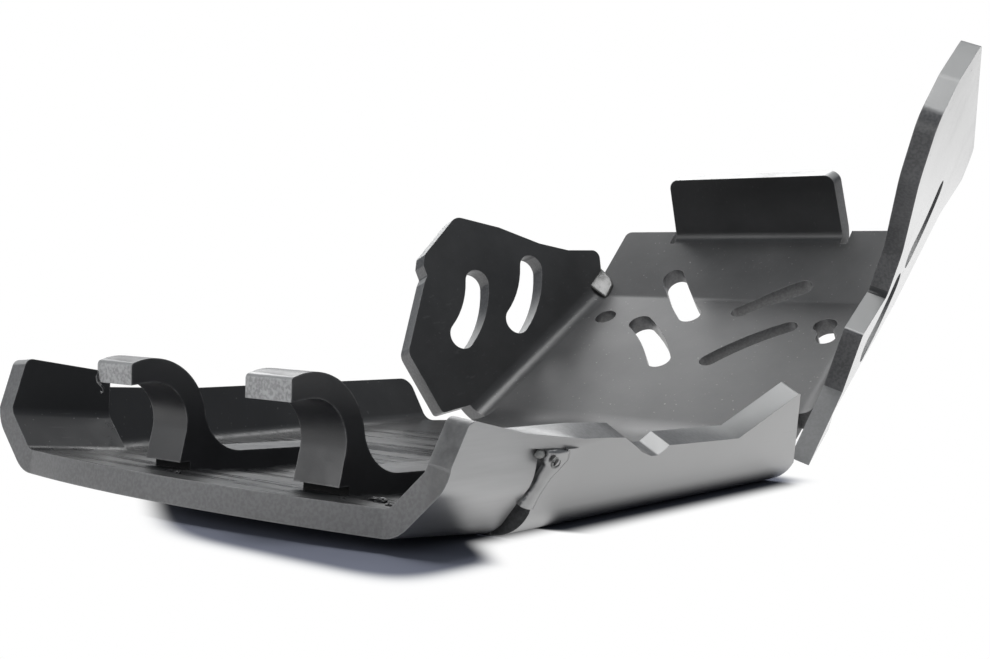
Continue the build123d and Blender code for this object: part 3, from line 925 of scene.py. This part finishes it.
def floor_paint(colour, shade):
    """Pale floor with a painted shade under the plate, that runs out to plain white."""
    made, tree, shader = start_material("Studio floor")
    shader.inputs["Roughness"].default_value = 0.9
    shader.inputs["Specular IOR Level"].default_value = 0.0
    at = object_place(tree)
    x = at["X"]
    y = at["Y"]
    rear = ramp(tree, y, SHADE_BOW_TO, SHADE_BOW_SLOT, SHADE_RIGHT_REAR, SHADE_RIGHT_SLOT)
    fore = ramp(tree, y, SHADE_BOW_SLOT, SHADE_BOW_FROM, 0.0, SHADE_RIGHT)
    right = maths(tree, "MAXIMUM", rear, fore)
    slant = times(tree, maths(tree, "SUBTRACT", SHADE_SLANT_X, x), SHADE_SLANT)
    # how far outside each side of the shade a point lies
    sides = [
        maths(tree, "SUBTRACT", x, right),
        maths(tree, "SUBTRACT", SHADE_LEFT, x),
        maths(tree, "SUBTRACT", SHADE_REAR, y),
        maths(tree, "ADD", slant, maths(tree, "SUBTRACT", SHADE_REAR, y)),
        maths(tree, "SUBTRACT", y, SHADE_FRONT),
    ]
    outside = sides[0]
    for side in sides[1:]:
        join = add(tree, "ShaderNodeMath", operation="SMOOTH_MAX")
        tree.links.new(outside, join.inputs[0])
        tree.links.new(side, join.inputs[1])
        join.inputs[2].default_value = SHADE_ROUND
        outside = join.outputs[0]
    clear = ramp(tree, outside, -SHADE_SOFT, SHADE_SOFT)
    paint = blend_colour(tree, clear, rgba(shade), rgba(colour))
    tree.links.new(paint, shader.inputs["Base Color"])
    glow = add(tree, "ShaderNodeEmission")
    mix = add(tree, "ShaderNodeMixShader")
    tree.links.new(times(tree, clear, seen_directly(tree)), mix.inputs["Fac"])
    tree.links.new(shader.outputs["BSDF"], mix.inputs[1])
    tree.links.new(glow.outputs["Emission"], mix.inputs[2])
    tree.links.new(mix.outputs["Shader"], tree.nodes["Material Output"].inputs["Surface"])
    return made


def studio_world(fill, tint, backdrop):
    """White to the camera; to all else a dim room with a pale backdrop low ahead of the plate."""
    world = bpy.data.worlds.new("Studio")
    bpy.context.scene.world = world
    world.use_nodes = True
    tree = world.node_tree
    towards = add(tree, "ShaderNodeTexCoord").outputs["Generated"]
    ahead = add(tree, "ShaderNodeVectorMath", operation="DOT_PRODUCT")
    tree.links.new(towards, ahead.inputs[0])
    ahead.inputs[1].default_value = BACKDROP_WAY
    low = ramp(tree, parted(tree, towards)["Z"], BACKDROP_TOP, BACKDROP_FULL)
    wall = times(tree, low, ramp(tree, ahead.outputs["Value"], BACKDROP_RIM, BACKDROP_CORE))
    room = blend_colour(tree, wall, rgba([c * fill for c in tint]), rgba([backdrop] * 3))
    camera = add(tree, "ShaderNodeLightPath").outputs["Is Camera Ray"]
    sky = blend_colour(tree, camera, room, rgba(WHITE))
    tree.links.new(sky, tree.nodes["Background"].inputs["Color"])


def studio_floor(paint):
    mesh = bpy.data.meshes.new("Studio_floor")
    work = bmesh.new()
    bmesh.ops.create_circle(work, cap_ends=True, segments=FLOOR_SIDES, radius=FLOOR_RADIUS)
    work.to_mesh(mesh)
    work.free()
    mesh.materials.append(paint)
    floor = bpy.data.objects.new("Studio_floor", mesh)
    floor.location = (0.0, 0.0, -FLOOR_DROP)
    bpy.context.scene.collection.objects.link(floor)


def photo_camera():
    view = bpy.data.cameras.new("Photo_camera")
    view.lens = LENS
    view.sensor_width = SENSOR
    view.clip_start = NEAREST
    camera = bpy.data.objects.new("Photo_camera", view)
    turn = Matrix((EYE_RIGHT, EYE_UP, -EYE_AHEAD)).transposed().to_4x4()
    camera.matrix_world = Matrix.Translation(EYE) @ turn
    bpy.context.scene.collection.objects.link(camera)
    bpy.context.scene.camera = camera


class SKID_OT_studio(bpy.types.Operator):
    """Set the floor, the light and the camera"""

    bl_idname = "skid.studio"
    bl_label = "Studio"

    def execute(self, context):
        look = context.scene.skid_studio
        studio_floor(floor_paint(look.floor, look.shade))
        softbox("Top_softbox", TOP_BOX, look.top_light)
        softbox("Front_softbox", FRONT_BOX, look.front_light)
        softbox("Ceiling_softbox", CEILING_BOX, look.ceiling_light)
        studio_world(look.fill, look.tint, look.backdrop)
        photo_camera()
        context.scene.view_settings.view_transform = "Standard"
        return {"FINISHED"}


class SKID_PT_panel(bpy.types.Panel):
    """Skid plate tools"""

    bl_idname = "SKID_PT_panel"
    bl_label = "Skid plate"
    bl_space_type = "VIEW_3D"
    bl_region_type = "UI"
    bl_category = "Skid plate"

    def draw(self, context):
        for tool in OPERATORS:
            self.layout.operator(tool.bl_idname)


OPERATORS = [SKID_OT_sheet, SKID_OT_hooks, SKID_OT_screws, SKID_OT_traces, SKID_OT_studio]
LOOKS = {
    "skid_sheet": SheetLook,
    "skid_hook": HookLook,
    "skid_screw": ScrewLook,
    "skid_studio": StudioLook,
}


def register():
    for look in LOOKS.values():
        bpy.utils.register_class(look)
    for tool in OPERATORS:
        bpy.utils.register_class(tool)
    bpy.utils.register_class(SKID_PT_panel)
    for name, look in LOOKS.items():
        setattr(bpy.types.Scene, name, PointerProperty(type=look))


def unregister():
    for name in LOOKS:
        delattr(bpy.types.Scene, name)
    bpy.utils.unregister_class(SKID_PT_panel)
    for tool in reversed(OPERATORS):
        bpy.utils.unregister_class(tool)
    for look in reversed(list(LOOKS.values())):
        bpy.utils.unregister_class(look)


def main():
    register()
    bpy.ops.skid.sheet()
    bpy.ops.skid.hooks()
    bpy.ops.skid.screws()
    bpy.ops.skid.traces()
    bpy.ops.skid.studio()


if __name__ == "__main__":
    main()
